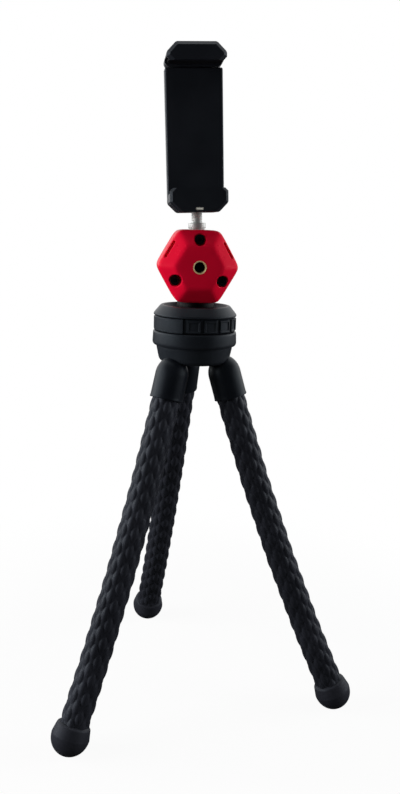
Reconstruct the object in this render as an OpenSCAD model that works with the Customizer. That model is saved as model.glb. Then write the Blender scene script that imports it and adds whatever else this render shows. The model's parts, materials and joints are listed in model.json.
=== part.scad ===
// Flexible leg tripod with a ball head and a spring phone clamp.
// The floor is z = 0 and the head faces -Y. The origin is the middle of the footprint's box.

/* [Legs] */
// Diameter of a rubber leg
leg_d = 16.8; // [14:0.2:20]
// Lean of the sleeves from the vertical, in degrees
leg_lean = 16.8; // [10:0.2:24]
// Bend outwards at each bending place in the resting stance, in degrees
leg_bend = 1.9; // [0.5:0.1:4]
// Length of the rubber link between two bending places
link_len = 40; // [30:1:50]
// Length of each bending place
flex_len = 10; // [9:0.5:14]
// Distance from the last bending place to the centre of the foot
toe_len = 46; // [36:1:60]
// Diameter of the soft metal core inside a leg
core_d = 5; // [3:0.5:7]
// Distance of the leg roots from the centre line
leg_root_r = 18.6; // [18:0.2:21]
// Direction of the first leg, in degrees from +X
leg_turn = -17.5; // [-60:0.5:60]
// Diameter of the rubber foot
foot_d = 22.4; // [20:0.2:28]
// Depth of the flat that the foot wears on the floor
foot_flat = 0.6; // [0.3:0.1:1.5]
// Height of the foot's shoulder above its centre
foot_shoulder = 5; // [3:0.5:6]

/* [Sleeves] */
// Diameter of the plastic sleeve at the top of a leg
sleeve_d = 19.6; // [18:0.2:22]
// Length of the sleeve below the leg root
sleeve_len = 17; // [14:0.5:26]
// Diameter of the plug that seats the sleeve in the hub
plug_d = 9; // [8:0.2:10]
// Length of the plug above the leg root
plug_len = 13; // [12:0.2:14]

/* [Hub] */
// Diameter of the flat underside
hub_floor_d = 36; // [32:0.5:38]
// Diameter of the bowl above its lower edge
bowl_d = 40.4; // [39:0.2:44]
// Diameter of the flange
flange_d = 50.6; // [48:0.2:56]
// Diameter of the band under the flange
band_d = 44.4; // [43:0.2:47]
// Height of that band
band_h = 4.8; // [3:0.2:6]
// Height of the bowl's lower edge above the underside
bowl_edge_h = 4.2; // [3:0.1:6]
// Height of the bowl below the flange
bowl_h = 14; // [12:0.5:18]
// Thickness of the flange
flange_t = 5; // [3:0.5:8]
// Height of the underside above the leg roots
hub_rise = 4.3; // [3.5:0.1:5]
// Thickness of the cup's floor
cup_floor_t = 13.5; // [13:0.1:15]
// Height of the bevelled top cover
cover_h = 6; // [4:0.5:9]
// Depth of the dish in the top cover
dish_h = 3.8; // [2:0.2:5]
// Wall of the top cover's skirt
skirt_t = 3.5; // [2.5:0.1:4]
// Distance of the hub screws from the centre line
hub_screw_r = 13.4; // [13:0.1:14]

/* [Lock ring] */
// Diameter over the grip pads
ring_d = 49.4; // [48:0.2:56]
// Wall of the ring, from the pads' faces to its bore
ring_wall = 4.35; // [4:0.05:5.5]
// Height of the ring
ring_h = 8.4; // [6:0.2:12]
// Number of narrow grip pads
pad_count = 12; // [8:1:13]
// Angle from one pad to the next, in degrees
pad_pitch = 24; // [20:1:24]
// Width of the groove between pads, in degrees
pad_groove = 4; // [2:0.5:6]
// Depth of the grooves
pad_t = 1.2; // [0.6:0.1:1.5]

/* [Head] */
// Height of the head across its flats
head_af = 42; // [40:0.5:48]
// Depth of the head from front to back
head_depth = 40; // [36:1:48]
// Width across the flats of the front face
face_af = 25; // [22:0.5:30]
// Depth of the middle block between the two bevels
block_depth = 24; // [23:0.5:30]
// Diameter over the rounded corners
head_corner_d = 47; // [44:0.5:50]
// Diameter of the front thread, a quarter inch
thread_d = 6.35; // [6.35]
// Outside diameter of the front thread insert
insert_d = 7.7; // [7.5:0.1:9]
// Distance of the cap screws from the front thread
cap_screw_r = 15.6; // [14.5:0.1:16.5]
// Diameter of the cap screws' recesses
cap_recess_d = 7; // [5.8:0.1:7.6]
// Length of the slots beside the upper edges
slot_len = 11; // [8:0.5:14]
// Width of those slots
slot_w = 2.4; // [1.6:0.1:3]

/* [Ball stud] */
// Diameter of the ball
ball_d = 16; // [14:0.5:16.5]
// Depth of the ball's centre below the head's top
ball_drop = 6.5; // [6:0.1:7.5]
// Diameter of the collar above the head
collar_d = 10.3; // [9:0.1:11]
// Height of the collar
collar_h = 3.4; // [2.5:0.1:5]
// Free length of screw between the collar and the clamp
screw_free = 5.9; // [4:0.1:9]
// Length of screw inside the clamp
screw_in = 8; // [6:0.5:10]
// Diameter of the opening over the ball
mouth_d = 19; // [17:0.2:20]
// Sideways lean of the stud and the clamp on the ball at rest, in degrees
clamp_lean = -2.7; // [-10:0.1:10]

/* [Stem] */
// Diameter of the stem that the head turns on
stem_d = 13; // [11:0.2:13.4]
// Diameter of the neck under the head
neck_d = 22; // [16:0.5:24]
// Diameter of the bore for the ball, its cup and springs
chamber_d = 18.2; // [17.6:0.1:20]
// Height of the stem's plug inside the head
stem_plug_h = 9.5; // [7:0.5:11]
// Diameter of the stem's nut
nut_d = 18.6; // [17:0.2:19]
// Thickness of the stem's nut
nut_t = 4.6; // [3:0.2:5]

/* [Phone clamp] */
// Width of the clamp
clamp_w = 33; // [30:0.5:40]
// Reach of the jaws in front of the screw
jaw_reach = 18; // [15:0.5:24]
// Depth of the clamp behind the screw
clamp_back = 12; // [11:0.5:16]
// Place of the plate's front face behind the screw
plate_front = 2; // [0:0.5:3]
// Height of the lower jaw
lower_jaw_h = 13.4; // [12.5:0.2:16]
// Height of the upper jaw
upper_jaw_h = 9.6; // [8.5:0.2:14]
// Opening between the closed jaws
jaw_open = 67; // [58:1:76]
// Corner chamfer of the jaws
jaw_chamfer = 5.3; // [3:0.1:7]
// Chamfer of the jaws' inner corners
jaw_inner_chamfer = 1.8; // [0.5:0.1:2.4]
// Height of the lip at the front of each jaw
lip_h = 2.8; // [2:0.1:3.4]
// Thickness of the lip
lip_t = 3; // [2:0.1:4]
// Thickness of the rubber pads
pad_rubber_t = 1.5; // [1:0.1:2]
// Travel of the upper jaw
jaw_travel = 25; // [15:1:28]
// Width of the slider's tongue
tongue_w = 21; // [16:0.5:24]
// Thickness of the slider's tongue
tongue_t = 4; // [3:0.2:4.4]
// Front wall of the clamp's plate
plate_wall = 2.6; // [2:0.1:3]
// Thickness of the back cover
back_cover_t = 2.2; // [1.6:0.1:2.4]
// Length of tongue left in the body at full travel
tongue_hold = 24; // [16:1:30]
// Diameter of the thread insert under the lower jaw
clamp_insert_d = 9.2; // [8:0.1:9.2]
// Length of that insert
clamp_insert_len = 9; // [8.5:0.1:10]
// Width of the insert's bar, whose end shows in the lower jaw's front
insert_bar_w = 4.8; // [3:0.1:6]
// Thickness of the insert's bar
insert_bar_t = 1.8; // [1:0.1:2.4]

/* [Fits] */
// Radial clearance of turning fits
turn_fit = 0.05; // [0.02:0.01:0.1]
// Clearance of seats that stay put
seat_fit = 0.05; // [0.02:0.01:0.1]
// Gap between pieces that move past each other
move_gap = 0.4; // [0.3:0.05:0.6]
// Radial gap between a leg's core and its rubber
core_gap = 0.35; // [0.3:0.05:0.6]
// Gap at each end of the rubber of a bending place
flex_gap = 0.5; // [0.3:0.05:0.8]
// Radial gap of holes that screws pass through
hole_gap = 0.1; // [0.05:0.05:0.3]
// Radial gap round the heads of screws
recess_gap = 0.4; // [0.3:0.05:0.6]

/* [Hidden] */
$fn = 96;
big = 400;
legs = ["a", "b", "c"];
bends = 4;
leg_pieces = ["sleeve", "core", "flex_1", "flex_2", "flex_3", "flex_4",
    "skin_1", "skin_2", "skin_3", "skin_4", "foot"];

// Stations of a leg, measured from its root at the centre of the sleeve's dome
function lean_of(k) = leg_lean + k * leg_bend;
function step_of(k) = k == 0 ? sleeve_len + flex_len / 2 : k == bends ? toe_len : link_len + flex_len;
function run_to(k) = k == 0 ? 0 : run_to(k - 1) + step_of(k - 1) * sin(lean_of(k - 1));
function drop_to(k) = k == 0 ? 0 : drop_to(k - 1) + step_of(k - 1) * cos(lean_of(k - 1));
function leg_azimuth(i) = leg_turn + i * 360 / len(legs);

// Heights from the floor up
foot_z = foot_d / 2 - foot_flat;
root_z = foot_z + drop_to(bends + 1);
hub_z = root_z + hub_rise;
cup_z = hub_z + cup_floor_t;
flange_z = hub_z + bowl_h;
flange_top_z = flange_z + flange_t;
ring_z = flange_top_z + move_gap;
cover_z = ring_z + ring_h + move_gap;
rim_z = cover_z + cover_h;
dish_z = rim_z - dish_h;
head_gap = 2;
head_z = rim_z + head_gap + head_af / 2;
head_top_z = head_z + head_af / 2;
head_low_z = head_z - head_af / 2;
ball_z = head_top_z - ball_drop;
collar_z = head_top_z + move_gap;
clamp_z = collar_z + collar_h + screw_free;
jaw_z = clamp_z + lower_jaw_h;
upper_jaw_z = jaw_z + jaw_open;
clamp_top_z = upper_jaw_z + upper_jaw_h;

// Place of the centre line in the footprint's box
foot_r = leg_root_r + run_to(bends + 1);
foot_x = [for (i = [0 : 2]) foot_r * cos(leg_azimuth(i))];
foot_y = [for (i = [0 : 2]) foot_r * sin(leg_azimuth(i))];
axis_x = -(max(foot_x) + min(foot_x)) / 2;
axis_y = -(max(foot_y) + min(foot_y)) / 2;

// Sizes that follow from the fits
leg_r = leg_d / 2;
core_r = core_d / 2;
core_bore_r = core_r + core_gap;
core_stop_t = 5;
core_top = plug_len - core_stop_t;
flex_inset = 0.2;
flex_r = leg_r - flex_inset;
arc_inset = 0.1;
arc_r = core_r - arc_inset;
bend_r = flex_len / 2 / tan(leg_bend / 2);
flex_short = leg_bend * flex_gap / flex_len;
core_lap = 1;
core_short = -leg_bend * core_lap / flex_len;
ring_in_r = ring_d / 2 - ring_wall;
skirt_r = ring_in_r - move_gap;
cup_r = skirt_r + seat_fit;
stem_r = stem_d / 2;
cover_over = 0.1;
cover_r = ring_d / 2 + cover_over;
cover_edge_h = 1;
cover_bevel = 4;
cover_rim_r = cover_r - cover_bevel;
rim_t = 1.7;
dish_r = cover_rim_r - rim_t;
dish_bevel = 1.6;
cover_floor_t = 2;
cover_low_z = cover_z - cover_floor_t;
collet_h = 4.4;
nut_top_z = cover_low_z - collet_h - move_gap;
post_r = 3.4;
post_bite = 6;
ball_r = ball_d / 2;
thread_r = thread_d / 2;
split_y = block_depth / 2;
bevel_slope = atan2((head_af - face_af) / 2, head_depth / 2 - split_y);
collar_chamfer = 1;
stem_top_z = head_low_z + stem_plug_h;
ball_cup_floor_t = 5;
cup_h = ball_r + ball_cup_floor_t;
cup_low_z = ball_z - cup_h;
ball_cup_top = 1;
bore_r = chamber_d / 2;
screw_d = 3;
screw_head_d = 5.5;
screw_head_h = 2.4;
socket_d = 2.9;
head_sink = 1;
hub_head_h = screw_head_h + head_sink;
cap_floor_t = 1.6;
cap_screw_bite = 2.6;
cap_head_y = split_y + cap_floor_t;
cap_screw_end_y = split_y - cap_screw_bite;
plug_bite = 4;
plug_seat_t = 4;
plug_screw_z = plug_len - plug_bite;
sleeve_head_z = plug_len + plug_seat_t;
tip_gap = 0.2;
channel_w = tongue_w + 2 * move_gap;
channel_front = plate_front + plate_wall;
channel_back = clamp_back - back_cover_t;
tongue_y = (channel_front + channel_back) / 2;
channel_floor_t = 2;
channel_floor_z = clamp_z + clamp_insert_len + channel_floor_t;
tongue_low_z = upper_jaw_z - jaw_travel - tongue_hold;
spring_d = 3.6;
spring_wall = 0.6;
spring_gap = 0.1;
spring_x = tongue_w / 4;
insert_bar_rise = 1.1;
insert_bar_sink = 0.3;
insert_bar_z = clamp_z + insert_bar_rise;
insert_bar_y = insert_bar_sink - jaw_reach;
back_margin = 2.6;
back_lap = 6;
back_low_z = channel_floor_z - back_lap;
back_high_z = upper_jaw_z - move_gap;
back_screw_r = 0.9;
back_screw_head_r = 1.6;
back_screw_len = 5;
back_head_t = 1;
back_screw_side = 1.6;
back_screw_x = clamp_w / 2 - back_margin - back_screw_side;
back_screw_inset = 4;
back_screw_places = [for (x = [-1, 1], z = [back_low_z + back_screw_inset, back_high_z - back_screw_inset])
    [x * back_screw_x, channel_back, z]];
pad_margin = 1.5;
pad_end_gap = 0.3;

module on_axis() {
    translate([axis_x, axis_y, 0]) children();
}

// Frame of the stud and the clamp, which lean on the ball
module on_ball() {
    translate([axis_x, axis_y, ball_z]) rotate([0, clamp_lean, 0]) translate([0, 0, -ball_z]) children();
}

// Local frame of a leg's k-th rigid stretch: the stretch runs along -Z from its bending place
module at_link(i, k) {
    rotate([0, 0, leg_azimuth(i)])
        translate([leg_root_r + run_to(k), 0, root_z - drop_to(k)])
            rotate([0, -lean_of(k), 0]) children();
}

module tube(outer, inner, low, high) {
    translate([0, 0, low]) difference() {
        cylinder(r = outer, h = high - low);
        translate([0, 0, -1]) cylinder(r = inner, h = high - low + 2);
    }
}

module rod(r, low, high) {
    translate([0, 0, low]) cylinder(r = r, h = high - low);
}

// Section of a ring swept through part of a turn
module arc_block(inner, outer, low, high, from, sweep) {
    rotate([0, 0, from]) rotate_extrude(angle = sweep)
        translate([inner, low]) square([outer - inner, high - low]);
}

// Socket screw standing on its tip, head upwards, with its hexagon socket
module socket_screw(shank) {
    difference() {
        union() {
            rod(screw_d / 2, 0, shank);
            rod(screw_head_d / 2, shank, shank + screw_head_h);
        }
        translate([0, 0, shank + screw_head_h / 2]) cylinder(d = socket_d, h = screw_head_h, $fn = 6);
    }
}

// Legs

// Hood that joins a leg to the hub: a dome, a straight skirt and a plug
module leg_sleeve(i) {
    edge = 1;
    edge_in = 1.4;
    color("#2b2b2d") on_axis() at_link(i, 0) difference() {
        union() {
            sphere(d = sleeve_d);
            rod(sleeve_d / 2, -sleeve_len + edge, 0);
            translate([0, 0, -sleeve_len]) cylinder(d1 = sleeve_d - edge_in, d2 = sleeve_d, h = edge);
            rod(plug_d / 2, 0, plug_len);
        }
        rod(core_r + seat_fit, -sleeve_len - 1, core_top);
        rod(screw_d / 2 + seat_fit, plug_screw_z, plug_len + 1);
    }
}

// Start of a bending place, in the frame of the stretch above it
module at_bend(i, k) {
    at_link(i, k - 1) translate([0, 0, flex_len / 2 - step_of(k - 1)]) children();
}

// Round bar along the arc of a bending place, short of both ends by an angle
module bend_arc(r, short) {
    translate([bend_r, 0, 0]) rotate([-90, 0, 180]) rotate([0, 0, short])
        rotate_extrude(angle = leg_bend - 2 * short) translate([bend_r, 0]) circle(r = r);
}

// Soft metal core, one rod from the sleeve to the foot
module leg_core(i) {
    color("silver") on_axis() {
        at_link(i, 0) rod(core_r, -sleeve_len, core_top);
        for (k = [1 : bends]) {
            low = k == bends ? foot_shoulder - toe_len : flex_len / 2 - step_of(k);
            at_bend(i, k) bend_arc(arc_r, core_short);
            at_link(i, k) rod(core_r, low, -flex_len / 2);
        }
    }
}

// Rubber between two links, which folds as the leg bends
module leg_flex(i, k) {
    color("#1c1c1e") on_axis() at_bend(i, k) difference() {
        bend_arc(flex_r, flex_short);
        bend_arc(core_bore_r, 0);
    }
}

// Rubber link between two bending places; the last one reaches into the foot
module leg_skin(i, k) {
    color("#1c1c1e") on_axis() at_link(i, k)
        tube(leg_r, core_bore_r, k == bends ? -toe_len : -flex_len / 2 - link_len, -flex_len / 2);
}

// Rubber foot: a ball with a shoulder round the leg, worn flat on the floor
module leg_foot(i) {
    collar_low_wall = 1.5;
    collar_high_wall = 0.8;
    collar_low_d = leg_d + 2 * collar_low_wall;
    collar_high_d = leg_d + 2 * collar_high_wall;
    collar_rise = 3;
    color("#161617") on_axis() difference() {
        at_link(i, bends) translate([0, 0, -toe_len]) difference() {
            union() {
                intersection() {
                    sphere(d = foot_d);
                    translate([-foot_d, -foot_d, -foot_d])
                        cube([2 * foot_d, 2 * foot_d, foot_d + foot_shoulder]);
                }
                translate([0, 0, foot_shoulder])
                    cylinder(d1 = collar_low_d, d2 = collar_high_d, h = collar_rise);
            }
            rod(leg_r + seat_fit, 0, toe_len);
        }
        translate([-big / 2, -big / 2, -big]) cube(big);
    }
}

// Hub

// Bowl, flange and cup in one moulding, with a seat for each sleeve
module hub_body() {
    edge_in = 1.4;
    edge_h = 1;
    top_edge = 0.8;
    band_in = 0.6;
    flange_r = flange_d / 2;
    color("#2f3033") on_axis() difference() {
        rotate_extrude() polygon([
            [0, hub_z], [hub_floor_d / 2, hub_z], [bowl_d / 2, hub_z + bowl_edge_h],
            [band_d / 2 - band_in, flange_z - band_h], [band_d / 2, flange_z - band_h + edge_h],
            [band_d / 2, flange_z], [flange_r - edge_in, flange_z], [flange_r, flange_z + edge_h],
            [flange_r, flange_top_z - top_edge], [flange_r - top_edge, flange_top_z],
            [cup_r, flange_top_z], [cup_r, cup_z], [0, cup_z]]);
        for (i = [0 : len(legs) - 1]) {
            at_link(i, 0) sphere(d = sleeve_d + 2 * seat_fit);
            at_link(i, 0) rod(plug_d / 2 + seat_fit, 0, plug_len);
            at_link(i, 0) rod(screw_d / 2 + seat_fit, plug_len - 1, sleeve_head_z + 1);
            at_link(i, 0) rod(screw_head_d / 2 + recess_gap, sleeve_head_z, sleeve_head_z + cup_floor_t);
            hub_screw_place(i) rod(screw_head_d / 2 + recess_gap, -1, hub_head_h);
            hub_screw_place(i) rod(screw_d / 2 + hole_gap, 0, cup_floor_t + 1);
        }
    }
}

module hub_screw_place(i) {
    rotate([0, 0, leg_azimuth(i) + 180 / len(legs)]) translate([hub_screw_r, 0, hub_z]) children();
}

// Screws that hold the two halves of the hub together, heads in the underside
module hub_screws() {
    shank = cup_floor_t + post_bite - hub_head_h;
    color("#3a3a3c") on_axis() for (i = [0 : len(legs) - 1])
        hub_screw_place(i) translate([0, 0, shank + hub_head_h]) mirror([0, 0, 1]) socket_screw(shank);
}

// Screws that draw the sleeves' plugs into the hub
module sleeve_screws() {
    color("#3a3a3c") on_axis() for (i = [0 : len(legs) - 1])
        at_link(i, 0) translate([0, 0, plug_screw_z + tip_gap])
            socket_screw(sleeve_head_z - plug_screw_z - tip_gap);
}

// Bevelled cover with a dish for the head, a skirt for the lock ring and three screw posts
module hub_top() {
    skirt_in_r = skirt_r - skirt_t;
    color("#26272a") on_axis() difference() {
        union() {
            rotate_extrude() polygon([
                [0, cover_low_z], [skirt_in_r, cover_low_z], [skirt_in_r, cup_z],
                [skirt_r, cup_z], [skirt_r, cover_z], [cover_r, cover_z], [cover_r, cover_z + cover_edge_h],
                [cover_rim_r, rim_z], [dish_r, rim_z], [dish_r - dish_bevel, dish_z], [0, dish_z]]);
            for (i = [0 : len(legs) - 1])
                hub_screw_place(i) rod(post_r, cup_floor_t, cover_z - hub_z - cover_floor_t / 2);
        }
        rod(stem_r + turn_fit, cover_low_z - 1, rim_z);
        for (i = [0 : len(legs) - 1]) {
            hub_screw_place(i) rod(screw_d / 2 + seat_fit, 0, cup_floor_t + post_bite + 1);
            at_link(i, 0) rod(screw_head_d / 2 + recess_gap, plug_len, sleeve_head_z + screw_head_h + 1);
        }
    }
}

// Ring that is turned by hand to lock the head: twelve framed pads and one broad thumb block
module lock_ring() {
    base_r = ring_d / 2 - pad_t;
    block_sweep = 360 - pad_count * pad_pitch;
    block_from = 181;
    frame_w = 1.1;
    frame_deep = 0.6;
    pad_lap = 0.5;
    pad_low = ring_z + 0.6;
    pad_high = ring_z + ring_h - 0.6;
    side_angle = pad_groove * 0.8;
    color("#3b3c40") on_axis() difference() {
        union() {
            tube(base_r, ring_in_r, ring_z, ring_z + ring_h);
            arc_block(base_r - pad_lap, ring_d / 2, ring_z, ring_z + ring_h,
                block_from, block_sweep - pad_groove);
            for (n = [0 : pad_count - 1])
                arc_block(base_r - pad_lap, ring_d / 2, pad_low, pad_high,
                    block_from + block_sweep + n * pad_pitch, pad_pitch - pad_groove);
        }
        for (n = [0 : pad_count - 1])
            arc_block(ring_d / 2 - frame_deep, ring_d, pad_low + frame_w, pad_high - frame_w,
                block_from + block_sweep + n * pad_pitch + side_angle,
                pad_pitch - pad_groove - 2 * side_angle);
    }
}

// Slit nylon collet under the cover that grips the stem when the ring is tightened
module pan_collet() {
    slit = 1.6;
    color("ivory") on_axis() difference() {
        tube(nut_d / 2, stem_r + 2 * turn_fit, cover_low_z - collet_h, cover_low_z);
        translate([0, -slit / 2, cover_low_z - 2 * collet_h]) cube([nut_d, slit, 3 * collet_h]);
    }
}

// Head

// Hexagonal block with six bevels at the front and six at the back
module head_solid() {
    half = head_depth / 2;
    translate([0, 0, head_z]) rotate([90, 0, 0]) difference() {
        intersection() {
            translate([0, 0, -half]) cylinder(r = head_af / 2 / cos(30), h = head_depth, $fn = 6);
            translate([0, 0, -half - 1]) cylinder(d = head_corner_d, h = head_depth + 2);
        }
        for (k = [0 : 5], side = [0, 1])
            rotate([0, 0, 30 + 60 * k]) mirror([0, 0, side])
                translate([head_af / 2, 0, split_y]) rotate([0, -bevel_slope, 0])
                    translate([0, -big / 2, -big / 2]) cube(big);
    }
}

module cap_screw_places() {
    for (k = [0 : 2])
        translate([cap_screw_r * cos(90 + 120 * k), 0, head_z + cap_screw_r * sin(90 + 120 * k)])
            rotate([90, 0, 0]) children();
}

// Red block: bore for the ball, its cup and springs, and a flared mouth above the ball
module head_body() {
    flare = mouth_d / 2 / ball_drop;
    color("#b3122b") on_axis() difference() {
        intersection() {
            head_solid();
            translate([-big / 2, -split_y, 0]) cube(big);
        }
        rod(bore_r, head_low_z - 1, ball_z);
        translate([0, 0, ball_z]) sphere(r = ball_r + 2 * turn_fit);
        translate([0, 0, ball_z + 1]) cylinder(r1 = flare, r2 = mouth_d / 2 + flare, h = ball_drop);
        cap_screw_places() rod(screw_d / 2 + seat_fit, cap_screw_end_y - tip_gap, split_y + 1);
    }
}

// Red front cap: the front bevels, with the thread insert, three screw recesses and two slots
module head_front_cap() {
    color("#b3122b") on_axis() difference() {
        intersection() {
            head_solid();
            translate([-big / 2, -split_y - big, 0]) cube(big);
        }
        translate([0, 0, head_z]) rotate([90, 0, 0]) rod(insert_d / 2 + seat_fit, split_y - 1, head_depth);
        cap_screw_places() rod(screw_d / 2 + hole_gap, split_y - 1, head_depth);
        cap_screw_places() rod(cap_recess_d / 2, cap_head_y, head_depth);
        for (a = [30, 150]) edge_slot(a);
    }
}

// Long slot with round ends, sunk into a bevel beside the outer edge
module edge_slot(a) {
    depth = 1.4;
    inset = 1.9;
    straight = slot_len - slot_w;
    translate([0, 0, head_z]) rotate([90, 0, 0]) rotate([0, 0, a])
        translate([head_af / 2, 0, split_y]) rotate([0, 90 - bevel_slope, 0])
            translate([-inset, 0, -depth]) {
                for (side = [-1, 1])
                    translate([0, side * straight / 2, 0]) cylinder(d = slot_w, h = depth * 2);
                translate([-slot_w / 2, -straight / 2, 0]) cube([slot_w, straight, depth * 2]);
            }
}

module head_cap_screws() {
    color("#18181a") on_axis() cap_screw_places()
        translate([0, 0, cap_screw_end_y]) socket_screw(cap_head_y - cap_screw_end_y);
}

// Brass insert with the quarter inch thread in the front face
module head_thread_insert() {
    color("#c8a24a") on_axis() translate([0, 0, head_z]) rotate([90, 0, 0]) difference() {
        rod(insert_d / 2, split_y, head_depth / 2);
        rod(thread_r, split_y - 1, head_depth);
    }
}

// Stem that the head turns on: a plug in the block, a neck over the dish and a shank in the hub
module head_stem() {
    color("#8b8d90") on_axis() union() {
        rod(bore_r - seat_fit, head_low_z, stem_top_z);
        rod(neck_d / 2, dish_z + move_gap, head_low_z);
        rod(stem_r, nut_top_z - nut_t, dish_z + move_gap);
    }
}

// Nut on the stem's lower end
module stem_nut() {
    color("#8b8d90") on_axis() tube(nut_d / 2, stem_r + seat_fit, nut_top_z - nut_t, nut_top_z);
}

// Conical disc springs that press the cup against the ball
module ball_disc_springs() {
    count = 4;
    pitch = (cup_low_z - stem_top_z) / count;
    disc_t = 1;
    gap = 0.05;
    inner = 4;
    outer = bore_r - 0.5;
    color("#a9abad") on_axis() for (n = [0 : count - 1]) {
        low = stem_top_z + n * pitch + gap;
        rise = pitch - disc_t - 2 * gap;
        up = n % 2 == 0 ? rise : 0;
        rotate_extrude() polygon([
            [inner, low + up], [outer, low + rise - up], [outer, low + rise - up + disc_t],
            [inner, low + up + disc_t]]);
    }
}

// Nylon cup under the ball
module ball_cup() {
    color("ivory") on_axis() difference() {
        rod(bore_r - 2 * turn_fit, cup_low_z, ball_z - ball_cup_top);
        translate([0, 0, ball_z]) sphere(r = ball_r + turn_fit);
    }
}

// Steel ball with its collar and quarter inch screw
module ball_stud() {
    color("#b9bbbe") on_ball() union() {
        translate([0, 0, ball_z]) sphere(r = ball_r);
        rod(collar_d / 2 - collar_chamfer, ball_z, collar_z + collar_chamfer);
        translate([0, 0, collar_z])
            cylinder(r1 = collar_d / 2 - collar_chamfer, r2 = collar_d / 2, h = collar_chamfer);
        rod(collar_d / 2, collar_z + collar_chamfer, collar_z + collar_h);
        rod(thread_r, collar_z, clamp_z + screw_in);
    }
}

// Phone clamp

// Front outline of a jaw with its corners cut, drawn upwards from its inner edge
module jaw_outline(height) {
    half = clamp_w / 2;
    inner = half - jaw_inner_chamfer;
    polygon([[-inner, 0], [inner, 0], [half, jaw_inner_chamfer], [half, height - jaw_chamfer],
        [half - jaw_chamfer, height], [jaw_chamfer - half, height], [-half, height - jaw_chamfer],
        [-half, jaw_inner_chamfer]]);
}

// Block of a jaw along Y, from its lip at the front to the back of the clamp
module jaw_block(height) {
    translate([0, clamp_back, 0]) rotate([90, 0, 0])
        linear_extrude(height = clamp_back + jaw_reach) jaw_outline(height);
}

// Space behind the lip that takes the rubber pad
module jaw_hollow() {
    translate([-clamp_w, -jaw_reach + lip_t, -1])
        cube([2 * clamp_w, jaw_reach - lip_t + plate_front, lip_h + 1]);
}

module lower_jaw_frame() {
    translate([0, 0, jaw_z]) mirror([0, 0, 1]) children();
}

module upper_jaw_frame() {
    translate([0, 0, upper_jaw_z]) children();
}

// Lower jaw and plate, with the channel that the slider runs in
module clamp_body() {
    color("#1f1f21") on_ball() difference() {
        union() {
            lower_jaw_frame() difference() {
                jaw_block(lower_jaw_h);
                jaw_hollow();
            }
            translate([-clamp_w / 2, plate_front, jaw_z - lip_h])
                cube([clamp_w, clamp_back - plate_front, jaw_open + lip_h - move_gap]);
        }
        translate([-channel_w / 2, channel_front, channel_floor_z]) cube([channel_w, big, big]);
        back_cover_space(0);
        rod(clamp_insert_d / 2 + seat_fit, clamp_z - 1, clamp_z + clamp_insert_len);
        insert_bar(seat_fit);
        for (place = back_screw_places) translate(place) rotate([90, 0, 0])
            rod(back_screw_r + seat_fit, -1, back_screw_len + tip_gap);
    }
}

// Recess that the back cover fits in, or the cover itself when drawn in by a fit
module back_cover_space(fit) {
    wide = clamp_w - 2 * back_margin - 2 * fit;
    deep = fit > 0 ? back_cover_t : back_cover_t + 1;
    high = fit > 0 ? back_high_z - back_low_z - fit : back_high_z - back_low_z + 1;
    translate([-wide / 2, channel_back, back_low_z + fit]) cube([wide, deep, high]);
}

// Plate that closes the channel at the back
module clamp_back_cover() {
    color("#1f1f21") on_ball() difference() {
        back_cover_space(seat_fit);
        for (place = back_screw_places) translate(place) rotate([90, 0, 0]) {
            rod(back_screw_r + seat_fit, -big, big);
            rod(back_screw_head_r + hole_gap, -big, -back_head_t);
        }
    }
}

// Four small screws in the back cover
module clamp_cover_screws() {
    cross_len = 2.2;
    cross_w = 0.4;
    cross_z = -2 * back_head_t - 0.4;
    color("#4a4a4c") on_ball() for (place = back_screw_places) translate(place) rotate([90, 0, 0]) {
        rod(back_screw_r, -back_head_t, back_screw_len);
        difference() {
            rod(back_screw_head_r, -2 * back_head_t, -back_head_t);
            for (a = [0, 90]) rotate([0, 0, a])
                translate([-cross_len / 2, -cross_w / 2, cross_z]) cube([cross_len, cross_w, 0.9]);
        }
    }
}

// Upper jaw with the tongue that slides in the body
module clamp_slider() {
    color("#1f1f21") on_ball() union() {
        upper_jaw_frame() difference() {
            jaw_block(upper_jaw_h);
            jaw_hollow();
        }
        translate([-tongue_w / 2, tongue_y - tongue_t / 2, tongue_low_z])
            cube([tongue_w, tongue_t, upper_jaw_z + lip_h + 1 - tongue_low_z]);
    }
}

// Pair of springs that draw the upper jaw down
module clamp_springs() {
    color("#a9abad") on_ball() for (side = [-1, 1]) translate([side * spring_x, tongue_y, 0])
        tube(spring_d / 2, spring_d / 2 - spring_wall,
            channel_floor_z + spring_gap, tongue_low_z - spring_gap);
}

module jaw_pad() {
    deep = jaw_reach - lip_t + plate_front - pad_end_gap;
    translate([-clamp_w / 2 + pad_margin, -jaw_reach + lip_t, lip_h - pad_rubber_t])
        cube([clamp_w - 2 * pad_margin, deep, pad_rubber_t]);
}

module clamp_lower_pad() {
    color("#111112") on_ball() lower_jaw_frame() jaw_pad();
}

module clamp_upper_pad() {
    color("#111112") on_ball() upper_jaw_frame() jaw_pad();
}

// Flat bar of the thread insert, or its slot in the lower jaw when drawn out by a fit
module insert_bar(fit) {
    front = fit > 0 ? -big : insert_bar_y;
    translate([-insert_bar_w / 2 - fit, front, insert_bar_z - fit])
        cube([insert_bar_w + 2 * fit, -front, insert_bar_t + 2 * fit]);
}

// Metal insert under the lower jaw that takes the stud's screw
module clamp_thread_insert() {
    color("#c9c3a8") on_ball() difference() {
        union() {
            rod(clamp_insert_d / 2, clamp_z, clamp_z + clamp_insert_len);
            insert_bar(0);
        }
        rod(thread_r + turn_fit, clamp_z - 1, clamp_z + clamp_insert_len + 1);
    }
}

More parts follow.
